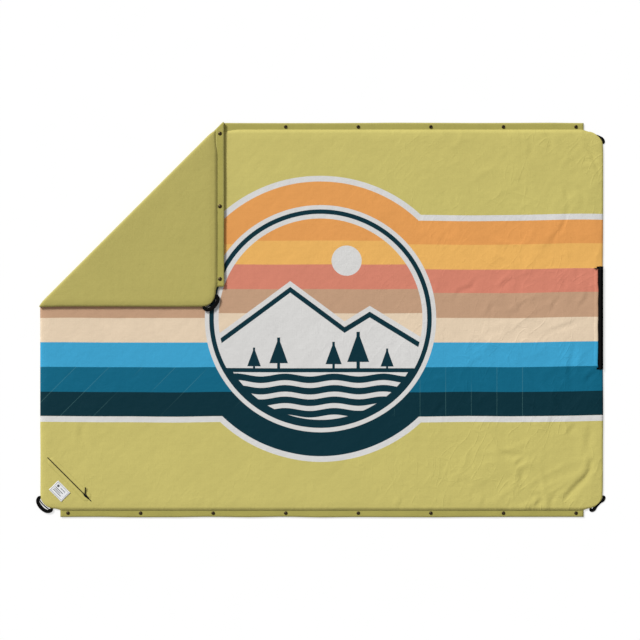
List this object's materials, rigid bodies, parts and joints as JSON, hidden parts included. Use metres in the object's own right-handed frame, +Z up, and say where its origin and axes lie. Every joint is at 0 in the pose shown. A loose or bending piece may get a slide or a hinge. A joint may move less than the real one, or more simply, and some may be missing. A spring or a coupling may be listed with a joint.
{
  "type": "camp blanket",
  "caption": "Insulated quilted camp blanket with a printed face, a folding corner, snap tapes, corner loops, and zipped corner and edge pockets.",
  "frame": {"origin": "the middle of the unfolded panel, on the face that it lies on", "axes": "+X along the long side, +Y along the short side towards the row of sockets, +Z up out of the printed face"},
  "size_m": [1.9892, 1.3706, 0.0225],
  "materials": {
    "face_cloth": "printed downproof ripstop with a soft sheen",
    "back_cloth": "plain olive ripstop with a soft sheen",
    "filling": "white polyester batting",
    "tape_cloth": "folded olive cloth, matt",
    "webbing": "black woven webbing, matt",
    "zip_tape": "black woven zip tape",
    "zip_coil": "black nylon coil, satin",
    "lining": "plain olive lining",
    "snap_metal": "dark antique brass, worn at the rims",
    "slider_metal": "black enamel, satin",
    "label_cloth": "woven white label with a plain geometric motif"
  },
  "bodies": {
    "root": {"back_shell": "back_cloth", "corner_pocket_bag": "lining", "corner_pocket_zip_coil": "zip_coil", "corner_pocket_zip_tape_inner": "zip_tape", "corner_pocket_zip_tape_outer": "zip_tape", "edge_pocket_bag": "lining", "edge_pocket_zip_coil": "zip_coil", "edge_pocket_zip_tape_inner": "zip_tape", "edge_pocket_zip_tape_outer": "zip_tape", "far_snap_4_cap": "snap_metal", "far_snap_4_socket": "snap_metal", "far_snap_5_cap": "snap_metal", "far_snap_5_socket": "snap_metal", "far_snap_6_cap": "snap_metal", "far_snap_6_socket": "snap_metal", "far_snap_7_cap": "snap_metal", "far_snap_7_socket": "snap_metal", "far_snap_8_cap": "snap_metal", "far_snap_8_socket": "snap_metal", "fold_bend": "face_cloth", "front_shell": "face_cloth", "insulation": "filling", "near_snap_1_cap": "snap_metal", "near_snap_1_stud": "snap_metal", "near_snap_2_cap": "snap_metal", "near_snap_2_stud": "snap_metal", "near_snap_3_cap": "snap_metal", "near_snap_3_stud": "snap_metal", "near_snap_4_cap": "snap_metal", "near_snap_4_stud": "snap_metal", "near_snap_5_cap": "snap_metal", "near_snap_5_stud": "snap_metal", "near_snap_6_cap": "snap_metal", "near_snap_6_stud": "snap_metal", "near_snap_7_cap": "snap_metal", "near_snap_7_stud": "snap_metal", "near_snap_8_cap": "snap_metal", "near_snap_8_stud": "snap_metal", "snap_tape_far": "tape_cloth", "snap_tape_near": "tape_cloth", "woven_label": "label_cloth"},
    "corner": {"corner_back_shell": "back_cloth", "corner_front_shell": "face_cloth", "corner_insulation": "filling", "far_snap_1_cap": "snap_metal", "far_snap_1_socket": "snap_metal", "far_snap_2_cap": "snap_metal", "far_snap_2_socket": "snap_metal", "far_snap_3_cap": "snap_metal", "far_snap_3_socket": "snap_metal", "snap_tape_corner": "tape_cloth"},
    "loop_far_left": {"loop_far_left": "webbing"},
    "loop_far_right": {"loop_far_right": "webbing"},
    "loop_near_left": {"loop_near_left": "webbing"},
    "loop_near_right": {"loop_near_right": "webbing"},
    "corner_zip_slider": {"corner_pocket_zip_slider": "slider_metal"},
    "corner_zip_puller": {"corner_pocket_zip_puller": "webbing"},
    "edge_zip_slider": {"edge_pocket_zip_slider": "slider_metal"},
    "edge_zip_puller": {"edge_pocket_zip_puller": "webbing"}
  },
  "joints": [
    {"name": "corner_fold", "type": "hinge", "parent": "root", "child": "corner", "pos_m": [-0.975, 0.045, 0.01125], "axis": [-0.7071, -0.7071, 0], "range_deg": [0, 180], "deforming": ["fold_bend"]},
    {"name": "loop_far_left_hinge", "type": "hinge", "parent": "corner", "child": "loop_far_left", "pos_m": [-0.38922, 0.06672, 0.0175], "axis": [-0.7071, -0.7071, 0], "range_deg": [0, 90]},
    {"name": "loop_far_right_hinge", "type": "hinge", "parent": "root", "child": "loop_far_right", "pos_m": [0.95328, 0.63078, 0.005], "axis": [0.7071, -0.7071, 0], "range_deg": [0, 90]},
    {"name": "loop_near_left_hinge", "type": "hinge", "parent": "root", "child": "loop_near_left", "pos_m": [-0.95328, -0.63078, 0.005], "axis": [-0.7071, 0.7071, 0], "range_deg": [0, 90]},
    {"name": "loop_near_right_hinge", "type": "hinge", "parent": "root", "child": "loop_near_right", "pos_m": [0.95328, -0.63078, 0.005], "axis": [-0.7071, -0.7071, 0], "range_deg": [0, 90]},
    {"name": "corner_zip_run", "type": "slide", "parent": "root", "child": "corner_zip_slider", "axis": [0.7071, -0.7071, 0], "range_m": [-0.176, 0.02]},
    {"name": "corner_puller_hinge", "type": "hinge", "parent": "corner_zip_slider", "child": "corner_zip_puller", "pos_m": [-0.81838, -0.60618, 0.0133], "axis": [1, 0, 0], "range_deg": [0, 180]},
    {"name": "edge_zip_run", "type": "slide", "parent": "root", "child": "edge_zip_slider", "axis": [0, -1, 0], "range_m": [0, 0.342]},
    {"name": "edge_puller_hinge", "type": "hinge", "parent": "edge_zip_slider", "child": "edge_zip_puller", "pos_m": [0.961, 0.178, 0.0133], "axis": [0, 1, 0], "range_deg": [0, 180]}
  ]
}
